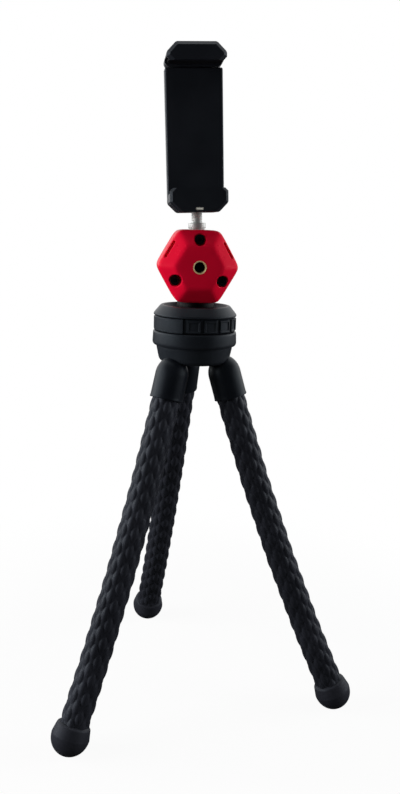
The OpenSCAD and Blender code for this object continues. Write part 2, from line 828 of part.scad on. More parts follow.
clamp_body();
clamp_back_cover();
clamp_cover_screws();
clamp_slider();
clamp_springs();
clamp_lower_pad();
clamp_upper_pad();
clamp_thread_insert();
ball_stud();
ball_cup();
ball_disc_springs();
head_body();
head_front_cap();
head_cap_screws();
head_thread_insert();
head_stem();
stem_nut();
pan_collet();
lock_ring();
hub_top();
hub_body();
hub_screws();
sleeve_screws();
for (i = [0 : len(legs) - 1]) {
    leg_sleeve(i);
    leg_core(i);
    leg_foot(i);
    for (k = [1 : bends]) {
        leg_flex(i, k);
        leg_skin(i, k);
    }
}
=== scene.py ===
import json

import bmesh
import bpy
import numpy as np
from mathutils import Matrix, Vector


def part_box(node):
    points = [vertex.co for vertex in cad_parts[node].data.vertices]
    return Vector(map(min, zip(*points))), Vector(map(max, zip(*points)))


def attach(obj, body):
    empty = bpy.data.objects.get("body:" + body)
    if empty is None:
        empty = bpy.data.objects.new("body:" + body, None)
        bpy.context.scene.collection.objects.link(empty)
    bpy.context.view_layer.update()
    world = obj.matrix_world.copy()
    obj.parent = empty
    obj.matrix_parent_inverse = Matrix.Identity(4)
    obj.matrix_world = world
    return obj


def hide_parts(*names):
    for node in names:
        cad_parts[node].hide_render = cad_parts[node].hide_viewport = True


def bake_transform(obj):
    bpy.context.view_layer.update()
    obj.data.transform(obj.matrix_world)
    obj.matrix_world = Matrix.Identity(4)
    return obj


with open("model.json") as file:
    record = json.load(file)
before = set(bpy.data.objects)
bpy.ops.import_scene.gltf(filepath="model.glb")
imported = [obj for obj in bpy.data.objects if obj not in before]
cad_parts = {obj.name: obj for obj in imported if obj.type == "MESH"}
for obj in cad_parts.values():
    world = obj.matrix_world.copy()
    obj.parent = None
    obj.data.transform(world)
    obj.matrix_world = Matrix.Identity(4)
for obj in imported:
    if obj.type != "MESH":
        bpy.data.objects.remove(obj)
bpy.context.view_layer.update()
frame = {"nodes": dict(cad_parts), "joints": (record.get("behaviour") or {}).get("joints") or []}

# Camera: it stands at the height of the ball stud, in front of the head and a little to its left,
# and looks slightly down. The picture is 400 by 794, tilted by almost two degrees.
picture_high = 794
focal_pixels = 788.2
joint = {j["name"]: j for j in frame["joints"]}
centre_line = np.array(joint["head_pan"]["pos_m"])[:2]
camera_turn, camera_away, camera_high = np.radians(-95.69), 0.47287, 0.29848
look_turn, look_down, tilt = np.radians(83.77), np.radians(12.23), np.radians(1.763)
ahead = np.array([np.cos(look_turn) * np.cos(look_down), np.sin(look_turn) * np.cos(look_down),
                  -np.sin(look_down)])
level_right = np.array([np.sin(look_turn), -np.cos(look_turn), 0.0])
level_up = np.cross(level_right, ahead)
right = np.cos(tilt) * level_right + np.sin(tilt) * level_up
up = np.cos(tilt) * level_up - np.sin(tilt) * level_right
stand = np.eye(4)
stand[:3, 0], stand[:3, 1], stand[:3, 2] = right, up, -ahead
stand[:2, 3] = centre_line + camera_away * np.array([np.cos(camera_turn), np.sin(camera_turn)])
stand[2, 3] = camera_high
lens = bpy.data.cameras.new("camera")
lens.sensor_fit = "VERTICAL"
lens.sensor_height = 36.0
lens.lens = lens.sensor_height * focal_pixels / picture_high
lens.clip_start = 0.01


def add_object(name, data):
    """Puts a camera, a lamp or a mesh into the scene under a name."""
    added = bpy.data.objects.new(name, data)
    bpy.context.scene.collection.objects.link(added)
    return added


camera = add_object("camera", lens)
camera.matrix_world = stand.T.tolist()
bpy.context.scene.camera = camera
bpy.context.scene.view_settings.view_transform = "Standard"


# Studio: a white paper floor, and a room with pale walls behind the object, at its sides and overhead and
# a dark front. Only gloss sees the walls; the camera sees plain white. Large soft lamps at the sides and
# above and a weak one in front give the light.
class Wire:
    """An output socket of a node tree. Arithmetic on it adds Math nodes."""

    def __init__(self, tree, socket):
        self.tree = tree
        self.socket = socket

    def maths(self, operation, *values):
        """A Math node's result for values that are numbers or sockets."""
        node = self.tree.nodes.new("ShaderNodeMath")
        node.operation = operation
        for slot, value in zip(node.inputs, values):
            if isinstance(value, Wire):
                self.tree.links.new(value.socket, slot)
            else:
                slot.default_value = value
        return Wire(self.tree, node.outputs[0])

    def __add__(self, other):
        return self.maths("ADD", self, other)

    def __radd__(self, other):
        return self.maths("ADD", other, self)

    def __sub__(self, other):
        return self.maths("SUBTRACT", self, other)

    def __rsub__(self, other):
        return self.maths("SUBTRACT", other, self)

    def __mul__(self, other):
        return self.maths("MULTIPLY", self, other)

    def __rmul__(self, other):
        return self.maths("MULTIPLY", other, self)


class Finish:
    """A material or the world, as a tree of nodes. Any node comes from node()."""

    def __init__(self, block):
        self.block = block
        block.use_nodes = True
        self.tree = block.node_tree

    def node(self, kind, settings=(), sockets=(), out=0):
        """Adds a node. Its settings are set first, then the values or links of its sockets."""
        node = self.tree.nodes.new("ShaderNode" + kind)
        for name, value in dict(settings).items():
            if name == "stops":
                while len(node.color_ramp.elements) < len(value):
                    node.color_ramp.elements.new(1.0)
                for stop, (place, colour) in zip(node.color_ramp.elements, value):
                    stop.position, stop.color = place, colour
            else:
                setattr(node, name, value)
        for name, value in dict(sockets).items():
            self.feed(node.inputs[name], value)
        return Wire(self.tree, node.outputs[out])

    def feed(self, slot, value):
        """Links a socket to a slot, or sets the slot to a value."""
        if isinstance(value, Wire):
            self.tree.links.new(value.socket, slot)
        else:
            slot.default_value = value

    def ramp(self, value, low, high, at_low, at_high):
        """Eases from at_low to at_high while value goes from low to high."""
        return self.node("MapRange", {"interpolation_type": "SMOOTHSTEP"},
                         {0: value, 1: low, 2: high, 3: at_low, 4: at_high})


floor_finish = Finish(bpy.data.materials.new("paper_floor"))
floor_tree = floor_finish.tree
floor_shader = floor_tree.nodes["Principled BSDF"]
floor_shader.inputs["Roughness"].default_value = 0.9
floor_shader.inputs["Specular IOR Level"].default_value = 0.0
paper_glow = floor_finish.node("Emission", {}, {"Color": (1, 1, 1, 1), "Strength": 1.0})
seen = floor_finish.node("LightPath", {}, {}, "Is Camera Ray")
dim_paper, white_paper = (0.05, 0.05, 0.05, 1), (0.86, 0.86, 0.86, 1)
paper_colour = floor_finish.node("MixRGB", {}, {0: seen, 1: dim_paper, 2: white_paper})
floor_finish.feed(floor_shader.inputs["Base Color"], paper_colour)
floor_where = floor_finish.node("TexCoord", {}, {}, "Object")
from_middle = floor_finish.node("VectorMath", {"operation": "LENGTH"}, {0: floor_where}, "Value")
shade_near, shade_far, shade_deep = 0.12, 0.34, 0.06
shade = floor_finish.ramp(from_middle, shade_near, shade_far, shade_deep, 0.0)
lit_paper = Wire(floor_tree, floor_shader.outputs[0])
paper = floor_finish.node("MixShader", {}, {0: seen * (1.0 - shade), 1: lit_paper, 2: paper_glow})
floor_finish.feed(floor_tree.nodes["Material Output"].inputs["Surface"], paper)
floor_mesh = bpy.data.meshes.new("floor")
floor_half = 6.0
floor_corners = np.array([[-1, -1, 0], [1, -1, 0], [1, 1, 0], [-1, 1, 0]]) * floor_half
floor_mesh.from_pydata(floor_corners.tolist(), [], [(0, 1, 2, 3)])
floor_mesh.materials.append(floor_finish.block)
floor = add_object("floor", floor_mesh)

world = bpy.data.worlds.new("studio")
bpy.context.scene.world = world
air = Finish(world)
ray = air.node("TexCoord", {}, {}, "Generated")
ray_x, ray_y, ray_z = (air.node("SeparateXYZ", {}, {0: ray}, part) for part in range(3))
behind = air.ramp(ray_y, -0.12, 0.38, 0.012, 0.9)
on_left = air.ramp(ray_x, -0.95, -0.62, 1.0, 0.0)
on_right = air.ramp(ray_x, 0.70, 0.97, 0.0, 0.55)
overhead = air.ramp(ray_z, 0.90, 0.985, 0.0, 0.5)
walls = behind + on_left + on_right + overhead
to_camera = air.node("LightPath", {}, {}, "Is Camera Ray")
to_gloss = air.node("LightPath", {}, {}, "Is Glossy Ray")
to_clear = air.node("LightPath", {}, {}, "Is Transmission Ray")
shown = to_camera.maths("MAXIMUM", to_camera, walls * to_gloss.maths("MAXIMUM", to_gloss, to_clear))
room_light = 0.09
surround = world.node_tree.nodes["Background"]
surround.inputs["Color"].default_value = (1, 1, 1, 1)
unlit = 1.0 - to_gloss
air.feed(surround.inputs["Strength"], shown.maths("MAXIMUM", shown, unlit * room_light))


def softbox(name, place, aim, wide, high, watts):
    """A rectangular lamp at place that shines towards aim: its -Z axis is the line between them."""
    lamp = bpy.data.lights.new(name, "AREA")
    lamp.shape = "RECTANGLE"
    lamp.size, lamp.size_y, lamp.energy = wide, high, watts
    box = add_object(name, lamp)
    box.visible_glossy = False
    back = np.array(place) - np.array(aim)
    back = back / np.linalg.norm(back)
    across = np.cross([0.0, 0.0, 1.0], back)
    across = across / np.linalg.norm(across)
    turn = np.eye(4)
    turn[:3, 0], turn[:3, 1], turn[:3, 2], turn[:3, 3] = across, np.cross(back, across), back, place
    box.matrix_world = turn.T.tolist()


softbox("lamp_left", (-0.95, -0.06, 0.34), (0, 0, 0.26), 0.7, 0.5, 12.0)
softbox("lamp_right", (0.95, -0.06, 0.34), (0, 0, 0.26), 0.7, 0.5, 8.5)
softbox("lamp_above", (0.0, 0.0, 1.15), (0, 0, 0.20), 0.9, 0.7, 7.0)
softbox("lamp_front", (-0.2, -0.95, 1.1), (0, 0, 0.22), 0.5, 0.5, 1.3)


# Leg cores: one soft metal rod runs down inside each rubber leg and keeps the bend it is given.
# It is drawn wire, cut to length and pushed into the sleeve. It follows the leg in four stretches.
leg_names = "abc"
leg_turns = np.radians([-17.5, 102.5, 222.5])
root_out, root_high = 0.0186, 0.213909
sleeve_lean, lean_per_bend = np.radians(16.8), np.radians(1.9)
bend_places = np.array([0.022, 0.072, 0.122, 0.172])
bend_span, foot_place = 0.010, 0.218
sleeve_mouth = 0.017
seam_places = np.array([sleeve_mouth - 0.001, 0.0468, 0.0972, 0.1476, foot_place])
line_end, line_steps = foot_place + 0.012, 2400


def leg_line(turn, places):
    """Centre points, outward normals and side vectors of a leg at distances from its root.

    The lean grows by one bend over each bending place; its sine and cosine are summed along the leg.
    """
    fine = np.linspace(0, line_end, line_steps)
    bends = sum(np.clip((fine - place) / bend_span + 0.5, 0, 1) for place in bend_places)
    lean = sleeve_lean + lean_per_bend * bends
    step = np.diff(fine, prepend=0.0)
    out = root_out + np.cumsum(np.sin(lean) * step)
    high = root_high - np.cumsum(np.cos(lean) * step)
    lean, out, high = (np.interp(places, fine, a) for a in (lean, out, high))
    away = np.array([np.cos(turn), np.sin(turn), 0.0])
    upright = np.array([0.0, 0.0, 1.0])
    points = np.append(centre_line, 0.0) + out[:, None] * away + high[:, None] * upright
    normals = np.cos(lean)[:, None] * away + np.sin(lean)[:, None] * upright
    side = np.array([-np.sin(turn), np.cos(turn), 0.0])
    return points, normals, np.broadcast_to(side, points.shape)


def spokes(angles, normals, side):
    """Unit vectors round each point of a line: the cosine times its normal plus the sine times its side."""
    return np.cos(angles)[None, :, None] * normals[:, None] + np.sin(angles)[None, :, None] * side[:, None]


weld_gap, crease_turn = 1e-7, np.radians(32)


def skin_mesh(name, grid, normals=None, round_rows=False):
    """A mesh over a grid of points, closed round its columns. Its first and last rows are capped or joined.

    Face k of row i joins points k and k+1 of rows i and i+1; a cap is a fan to the mean of its row.
    """
    rows, cols = grid.shape[:2]
    vertices = grid.reshape(-1, 3)
    i, k = np.meshgrid(np.arange(rows if round_rows else rows - 1), np.arange(cols), indexing="ij")
    i_next, k_next = (i + 1) % rows, (k + 1) % cols
    corners = [i * cols + k, i * cols + k_next, i_next * cols + k_next, i_next * cols + k]
    faces = np.stack(corners, -1).reshape(-1, 4).tolist()
    if not round_rows:
        ends = np.array([grid[0].mean(0), grid[-1].mean(0)])
        vertices = np.vstack([vertices, ends])
        ring = np.arange(cols)
        low_fan = np.stack([np.full(cols, rows * cols), np.roll(ring, -1), ring], -1)
        last = (rows - 1) * cols
        high_fan = np.stack([np.full(cols, rows * cols + 1), last + ring, last + np.roll(ring, -1)], -1)
        faces += low_fan.tolist() + high_fan.tolist()
    mesh = bpy.data.meshes.new(name)
    mesh.from_pydata(vertices.tolist(), [], faces)
    mesh.update()
    shape = bmesh.new()
    shape.from_mesh(mesh)
    bmesh.ops.remove_doubles(shape, verts=shape.verts, dist=weld_gap)
    bmesh.ops.recalc_face_normals(shape, faces=shape.faces)
    shape.to_mesh(mesh)
    shape.free()
    mesh.shade_smooth()
    if normals is None:
        mesh.set_sharp_from_angle(angle=crease_turn)
    else:
        mesh.normals_split_custom_set_from_vertices(normals.reshape(-1, 3).tolist())
    return add_object(name, mesh)


cloud_low, cloud_high, mean_swing, grain_deep = 0.3, 0.72, 0.75, 0.0001


def grained(name, dark, light, cloud=60.0, grain=3600.0, rough=0.35, swing=0.12, bump=0.18,
            specular=0.5, metal=0.0, tint=(1.0, 1.0, 1.0)):
    """A finish whose colour drifts from dark to light in a soft cloud, and whose fine grain shows as bump.

    Roughness swings about the given one: the cloud adds the swing, the grain half of it, less their mean.
    """
    finish = Finish(bpy.data.materials.new(name))
    shader = finish.tree.nodes["Principled BSDF"]
    shader.inputs["Metallic"].default_value = metal
    shader.inputs["Specular IOR Level"].default_value = specular
    shader.inputs["Specular Tint"].default_value = (*tint, 1)
    where = finish.node("TexCoord", {}, {}, "Object")
    drift = finish.node("TexNoise", {}, {"Vector": where, "Scale": cloud, "Detail": 3.0})
    specks = finish.node("TexNoise", {}, {"Vector": where, "Scale": grain, "Detail": 2.0})
    stops = [(cloud_low, (*dark, 1)), (cloud_high, (*light, 1))]
    finish.colour = finish.node("ValToRGB", {"stops": stops}, {0: drift})
    finish.feed(shader.inputs["Base Color"], finish.colour)
    roughness = drift * swing + specks * (swing / 2) + (rough - mean_swing * swing)
    finish.feed(shader.inputs["Roughness"], roughness)
    relief = finish.node("Bump", {}, {"Strength": bump, "Distance": grain_deep, "Height": specks})
    finish.feed(shader.inputs["Normal"], relief)
    return finish


def dress(piece, finish):
    """Puts the finish on a piece."""
    piece.data.materials.clear()
    piece.data.materials.append(finish.block)


def bend_with(piece):
    """Bakes the placing of a piece of a leg into its mesh."""
    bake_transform(piece)


core_finish = grained("drawn_core_metal", (0.42, 0.42, 0.43), (0.58, 0.58, 0.59), cloud=900.0,
                      rough=0.42, metal=1.0)
core_radius, core_rows = 0.0025, 26
core_top, core_end = 0.008, foot_place - 0.005
around_core = np.linspace(0, 2 * np.pi, 24, endpoint=False)
for leg, turn in zip(leg_names, leg_turns):
    for k in range(1, 5):
        core_from = 0.0 if k == 1 else seam_places[k - 1]
        core_to = core_end if k == 4 else seam_places[k]
        points, normals, side = leg_line(turn, np.linspace(core_from, core_to, core_rows))
        if k == 1:
            upwards = (points[0] - points[1]) / np.linalg.norm(points[0] - points[1])
            points = np.vstack([points[0] + upwards * core_top, points])
            normals, side = np.vstack([normals[:1], normals]), np.vstack([side[:1], side])
        core_grid = points[:, None] + core_radius * spokes(around_core, normals, side)
        core = skin_mesh(f"leg_{leg}_core_{k}", core_grid)
        dress(core, core_finish)
        bend_with(core)
        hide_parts(f"leg_{leg}_core")


# Leg rubber: a black skin moulded over the core, with staggered almond bumps that give it grip.
# It is one piece from the sleeve to the foot; here it is drawn in four stretches that bend.
cool_gloss = (0.78, 0.90, 1.0)
rubber = grained("leg_rubber_skin", (0.0145, 0.0155, 0.0205), (0.022, 0.0235, 0.031), cloud=55.0,
                 grain=2600.0, rough=0.44, swing=0.16, bump=0.25, specular=0.42, tint=cool_gloss)
rubber_radius, bump_high = 0.00806, 0.0007
bump_pitch, bump_columns = 0.0108, 7
bump_long, bump_wide, bump_power = 0.0088, 0.0044, 0.9
bump_turns = np.radians([12.0, -5.0, 3.4])
bore_radius = 0.00285
around_leg = np.linspace(0, 2 * np.pi, 168, endpoint=False)
row_gap = 0.0005


def leg_rubber(turn, twist, places):
    """Outer and bore points of a leg, and their directions: a plain radius plus staggered almonds.

    An almond is a power of one minus the squares of the distances along and around it, each as a
    share of its half length and half width. Every second column is moved by half a pitch.
    """
    radius = np.zeros((places.size, around_leg.size))
    for column in (0.0, 0.5):
        along = (places / bump_pitch + column + 0.5) % 1 - 0.5
        around = ((around_leg - twist) * bump_columns / (2 * np.pi) + column + 0.5) % 1 - 0.5
        along = along * bump_pitch / (bump_long / 2)
        around = around * 2 * np.pi * rubber_radius / bump_columns / (bump_wide / 2)
        almond = np.clip(1 - along[:, None] ** 2 - around[None, :] ** 2, 0, 1)
        radius = np.maximum(radius, almond ** bump_power)
    radius = rubber_radius + bump_high * radius
    points, normals, side = leg_line(turn, places)
    ring = spokes(around_leg, normals, side)
    return points[:, None] + radius[:, :, None] * ring, points[:, None] + bore_radius * ring, ring


for leg, turn, twist in zip(leg_names, leg_turns, bump_turns):
    for k in range(1, 5):
        count = int(round((seam_places[k] - seam_places[k - 1]) / row_gap)) + 1
        places = np.linspace(seam_places[k - 1], seam_places[k], count)
        wide = np.concatenate([[2 * places[0] - places[1]], places, [2 * places[-1] - places[-2]]])
        outer, inner, ring = leg_rubber(turn, twist, wide)
        along = np.gradient(outer, axis=0)
        across = (np.roll(outer, -1, axis=1) - np.roll(outer, 1, axis=1)) / 2
        facing_out = np.cross(across, along)
        facing_out *= np.sign((facing_out * ring).sum(-1, keepdims=True))
        facing_out /= np.linalg.norm(facing_out, axis=-1, keepdims=True)
        shell = np.concatenate([outer[1:-1], inner[1:-1][::-1]])
        facings = np.concatenate([facing_out[1:-1], -ring[1:-1][::-1]])
        skin = skin_mesh(f"leg_{leg}_rubber_{k}", shell, facings, round_rows=True)
        dress(skin, rubber)
        bend_with(skin)
        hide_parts(f"leg_{leg}_skin_{k}", f"leg_{leg}_flex_{k}")


# Feet: solid rubber balls pushed over the ends of the legs. A round dome meets the ground and
# a cap tapers up from its widest line to a soft shoulder round the leg.
foot_finish = grained("foot_rubber", (0.0175, 0.0185, 0.0245), (0.026, 0.027, 0.0345), cloud=90.0,
                      grain=3200.0, rough=0.5, swing=0.15, bump=0.3, specular=0.35, tint=cool_gloss)
most_cut = 0.48


def rounded(corners, radii, steps=6):
    """An outline with soft corners: each is a quadratic curve between points set back from the corner."""
    corners = np.array(corners, float)
    line = [corners[:1]]
    for before, here, after, radius in zip(corners[:-2], corners[1:-1], corners[2:], radii):
        back, on = before - here, after - here
        back_long, on_long = np.linalg.norm(back), np.linalg.norm(on)
        cut = min(radius, most_cut * back_long, most_cut * on_long)
        t = np.linspace(0, 1, steps)[:, None]
        start, end = here + back / back_long * cut, here + on / on_long * cut
        line.append((1 - t) ** 2 * start + 2 * t * (1 - t) * here + t ** 2 * end)
    line.append(corners[-1:])
    return np.vstack(line)


def turned(name, outline, foot_point, axis, sides=96, dents=0.0, hollow=False):
    """A turned piece: an outline of radius and height, swept round an axis from a point on it.

    Dents, one for each point and side, are taken off the radius. A hollow piece has a closed outline.
    """
    axis = np.array(axis, float) / np.linalg.norm(axis)
    helper = np.array([0.0, 1.0, 0.0]) if abs(axis[1]) < 0.9 else np.array([1.0, 0.0, 0.0])
    first = np.cross(helper, axis)
    first /= np.linalg.norm(first)
    second = np.cross(axis, first)
    angle = np.linspace(0, 2 * np.pi, sides, endpoint=False)
    ring = np.cos(angle)[:, None] * first + np.sin(angle)[:, None] * second
    radius = outline[:, :1] - dents * np.ones((1, sides))
    grid = np.array(foot_point) + outline[:, 1][:, None, None] * axis + radius[:, :, None] * ring[None]
    return skin_mesh(name, grid, round_rows=hollow)


foot_radius, dome_deep, dome_stop = 0.0112, 0.0112, 0.06
dome_turn = np.linspace(0.0, np.pi / 2 - dome_stop, 22)
dome = np.stack([foot_radius * np.sin(dome_turn), -dome_deep * np.cos(dome_turn)], -1)
on_axis = 0.00002
dome[0, 0] = on_axis
socket_floor, last_stretch = 0.0040, 0.02
cap = rounded([dome[-1], (0.0113, 0.0001), (0.0099, 0.0066), (0.0080, 0.0074), (0.0078, socket_floor)],
              [0.0004, 0.0022, 0.0003])
foot_outline = np.vstack([dome, cap[1:], [[on_axis, socket_floor]]])
for leg, turn in zip(leg_names, leg_turns):
    ends, _, _ = leg_line(turn, np.array([foot_place - last_stretch, foot_place]))
    foot = turned(f"leg_{leg}_foot_ball", foot_outline, ends[1], ends[0] - ends[1])
    heights = np.empty(len(foot.data.vertices) * 3)
    foot.data.vertices.foreach_get("co", heights)
    heights[2::3] = np.maximum(heights[2::3], 0.0)
    foot.data.vertices.foreach_set("co", heights)
    foot.data.update()
    dress(foot, foot_finish)
    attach(foot, f"leg_{leg}_link_4")
    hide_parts(f"leg_{leg}_foot")


# Sleeves: moulded plastic hoods that join the legs to the hub. Each has a domed top that goes into
# the hub's underside and a mouth with a small lip where the rubber comes out.
sleeve_plastic = grained("sleeve_plastic", (0.0050, 0.0062, 0.0092), (0.0080, 0.0096, 0.0132),
                         grain=4200.0, rough=0.38, tint=cool_gloss)
sleeve_radius, dome_from, dome_long = 0.0098, -0.0022, 0.0114
lip_out, lip_inner, lip_floor, first_stretch = 0.0002, 0.0089, -0.0160, 0.010
dome_part = np.sin(np.linspace(np.pi / 2, 0, 18))
sleeve_dome = np.stack([sleeve_radius * np.sqrt(1 - dome_part ** 2),
                        dome_from + dome_long * dome_part], -1)
sleeve_dome[0, 0] = on_axis
sleeve_end = rounded([sleeve_dome[-1], (sleeve_radius, -0.0150), (sleeve_radius + lip_out, -sleeve_mouth),
                      (lip_inner, -sleeve_mouth), (lip_inner, lip_floor), (on_axis, lip_floor)],
                     [0.0008, 0.0006, 0.0003, 0.0003])
sleeve_outline = np.vstack([sleeve_dome, sleeve_end[1:]])
for leg, turn in zip(leg_names, leg_turns):
    ends, _, _ = leg_line(turn, np.array([0.0, first_stretch]))
    sleeve = turned(f"leg_{leg}_hood", sleeve_outline, ends[0], ends[0] - ends[1])
    dress(sleeve, sleeve_plastic)
    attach(sleeve, "hub")
    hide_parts(f"leg_{leg}_sleeve")


# Hub body: a plastic bowl with a flange over a stepped band, moulded in one with the cup that takes the
# cover's skirt. Screws from below hold the cover, and screws from inside hold the sleeves.
hub_plastic = grained("hub_plastic", (0.0100, 0.0122, 0.0158), (0.0150, 0.0178, 0.0226),
                      grain=4200.0, rough=0.38, tint=cool_gloss)
hub_low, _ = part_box("hub_body")
hub_foot = np.array([centre_line[0], centre_line[1], hub_low[2]])
bowl_rim, cup_radius, cup_floor = 0.0190, 0.0200, 0.0136
bowl = rounded([(on_axis, 0.0), (0.0192, 0.0), (0.0212, 0.0016), (0.0220, 0.0050), (0.0228, 0.0088),
                (0.0229, 0.0102), (0.0246, 0.0106), (0.0253, 0.0118), (0.0250, 0.0183), (0.0244, bowl_rim),
                (cup_radius, bowl_rim), (cup_radius, cup_floor), (on_axis, cup_floor)],
               [0.0008, 0.0012, 0.0010, 0.0006, 0.0004, 0.0005, 0.0006, 0.0005, 0.0005, 0.0003, 0.0003])
hub_bowl = turned("hub_bowl", bowl, hub_foot, (0, 0, 1), sides=144)
dress(hub_bowl, hub_plastic)
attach(hub_bowl, "hub")
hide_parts("hub_body")

dark_steel = grained("black_oxide_screw", (0.020, 0.020, 0.022), (0.055, 0.055, 0.058), cloud=700.0,
                     rough=0.42, metal=0.9)
for name in ("hub_screws", "sleeve_screws"):
    dress(frame["nodes"][name], dark_steel)


# Lock ring: a plastic ring turned by hand. Twelve framed pads and one broad thumb block stand on it.
# It runs on the cover's skirt between the flange and the cover.
ring_low, ring_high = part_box("lock_ring")
ring_tall = ring_high[2] - ring_low[2]
ring_plastic = grained("ring_plastic", (0.0105, 0.0130, 0.0168), (0.0165, 0.0198, 0.0250), cloud=75.0,
                       grain=3800.0, rough=0.4, specular=0.65, tint=cool_gloss)
pad_count, pad_pitch, pad_groove, block_from = 12, 24.0, 4.0, 181.0
block_sweep = 360.0 - pad_count * pad_pitch
ring_outer, ring_step, frame_step, ring_inner = 0.0247, 0.0012, 0.0006, 0.02035
side_slope, side_blur, frame_blur, height_blur = 0.5, 1.1, 0.9, 0.0004
pad_margin, frame_margin = 0.0006, 0.0017
pads_early, frame_near, frame_far = 0.6, 0.8, 1.8
edge_round, rim_rows, middle_rows, rim_to, middle_from = 0.0004, 14, 8, 0.0023, 0.0026
ring_angle = np.linspace(0, 360, 1440, endpoint=False)


def soft_step(x, edge, width):
    """Rises from 0 to 1 over a width round an edge, level at both ends."""
    t = np.clip((x - edge) / width + 0.5, 0, 1)
    return t * t * (3 - 2 * t)


def window(x, low, high, width):
    """1 between low and high and 0 outside them, with both steps softened over a width."""
    return soft_step(x, low, width) * (1 - soft_step(x, high, width))


def ring_side(angle, height):
    """Radius of the ring's side by angle in degrees and height.

    It is a base, plus a step where the block or a pad stands, less a step in the middle of each pad.
    """
    past = (angle - block_from) % 360
    on_block = window(past, side_slope, block_sweep - pad_groove - side_slope, side_blur)
    in_pad = (past - block_sweep) % pad_pitch
    in_pads = past > block_sweep - pads_early
    pads = in_pads * window(in_pad, side_slope, pad_pitch - pad_groove - side_slope, side_blur)
    pads = pads * window(height, pad_margin, ring_tall - pad_margin, height_blur)
    middle = window(in_pad, pad_groove * frame_near, pad_pitch - pad_groove * frame_far, frame_blur)
    middle = in_pads * middle * window(height, frame_margin, ring_tall - frame_margin, height_blur)
    return ring_outer - ring_step + ring_step * np.maximum(on_block, pads) - frame_step * middle


side_heights = np.concatenate([np.linspace(edge_round, rim_to, rim_rows),
                               np.linspace(middle_from, ring_tall - middle_from, middle_rows),
                               np.linspace(ring_tall - rim_to, ring_tall - edge_round, rim_rows)])
ring_radius = ring_side(ring_angle[None, :], side_heights[:, None])
bore_row = np.full((1, ring_angle.size), ring_inner)
ring_radius = np.vstack([bore_row, ring_radius[:1] - edge_round, ring_radius,
                         ring_radius[-1:] - edge_round, bore_row])
ring_levels = ring_low[2] + np.concatenate([[0.0, 0.0], side_heights, [ring_tall, ring_tall]])
turn_here = np.radians(ring_angle)
ring_grid = np.stack([centre_line[0] + ring_radius * np.cos(turn_here),
                      centre_line[1] + ring_radius * np.sin(turn_here),
                      np.broadcast_to(ring_levels[:, None], ring_radius.shape)], -1)
grip_ring = skin_mesh("grip_ring", ring_grid, round_rows=True)
dress(grip_ring, ring_plastic)
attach(grip_ring, "lock_ring")
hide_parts("lock_ring")


# Hub cover: a bevelled plastic cap with a shallow dish that the head turns over. Its skirt reaches
# down into the cup through the lock ring.
_, top_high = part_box("hub_top")
cover_gap, dish_deep, cover_bore = 0.0004, 0.0038, 0.0066
skirt_radius, skirt_end, cover_radius = 0.0195, -0.0020, 0.0248
cover_low = ring_high[2] + cover_gap
cover_tall = top_high[2] - cover_low
dish_level = cover_tall - dish_deep
cover = rounded([(cover_bore, skirt_end), (0.0160, skirt_end), (skirt_radius, skirt_end), (skirt_radius, 0.0),
                 (cover_radius, 0.0), (cover_radius, 0.0010), (0.0211, cover_tall - 0.0005),
                 (0.0204, cover_tall), (0.0191, cover_tall), (0.0175, dish_level), (cover_bore, dish_level)],
                [0.0003, 0.0003, 0.0003, 0.0004, 0.0009, 0.0012, 0.0005, 0.0006, 0.0006], steps=7)
cover_foot = np.array([centre_line[0], centre_line[1], cover_low])
hub_cover = turned("hub_cover", cover, cover_foot, (0, 0, 1), sides=144, hollow=True)
dress(hub_cover, hub_plastic)
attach(hub_cover, "hub")
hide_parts("hub_top")


# Stem, nut and collet: the head turns on a metal stem in the hub. A nut holds it from below
# and a slit nylon collet grips it. The ball's cup in the head is of the same nylon.
turned_metal = grained("turned_stem_metal", (0.05, 0.05, 0.052), (0.075, 0.075, 0.078), cloud=1400.0,
                       rough=0.44, metal=1.0)
for name in ("head_stem", "stem_nut"):
    dress(frame["nodes"][name], turned_metal)

nylon = grained("natural_nylon", (0.66, 0.64, 0.57), (0.76, 0.74, 0.68), cloud=240.0, rough=0.46)
for name in ("pan_collet", "ball_cup"):
    dress(frame["nodes"][name], nylon)


# Head: a red block and its screwed front cap, which together make a hexagon with six bevels at each end.
# Their edges are slightly rounded under a satin red coat. The cap has three screw recesses and two slots.
red_coat = grained("satin_red_coat", (0.68, 0.0022, 0.0255), (0.76, 0.0032, 0.0310), cloud=70.0,
                   rough=0.42, swing=0.10, bump=0.14, specular=0.22, tint=(1.0, 0.62, 0.76))
head_low, head_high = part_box("head_body")
head_middle = np.array([centre_line[0], centre_line[1], (head_low[2] + head_high[2]) / 2])
head_flat, head_half, cap_flat, cap_seam, corner_radius = 0.021, 0.020, 0.0125, 0.012, 0.0235
edge_power = 40
sixths = np.radians(np.arange(30, 390, 60))
out_ways = np.stack([np.cos(sixths), np.zeros(6), np.sin(sixths)], -1)
lengthwise = np.array([0.0, 1.0, 0.0])
slope = np.array([head_half - cap_seam, head_flat - cap_flat])
slope = slope / np.linalg.norm(slope)
bevel_ways = np.vstack([slope[0] * out_ways + end * slope[1] * lengthwise for end in (-1, 1)])
head_ways = np.vstack([out_ways, bevel_ways, -lengthwise[None], lengthwise[None]])
bevel_far = slope[0] * head_flat + slope[1] * cap_seam
head_far = np.concatenate([np.full(6, head_flat), np.full(12, bevel_far), np.full(2, head_half)])
edge_limit, halvings, outer_share = 0.0009, 6, 0.985
rounding_at, rounding_over = 0.86, 0.22
cad_weld, sharp_turn = 2e-6, np.radians(28)


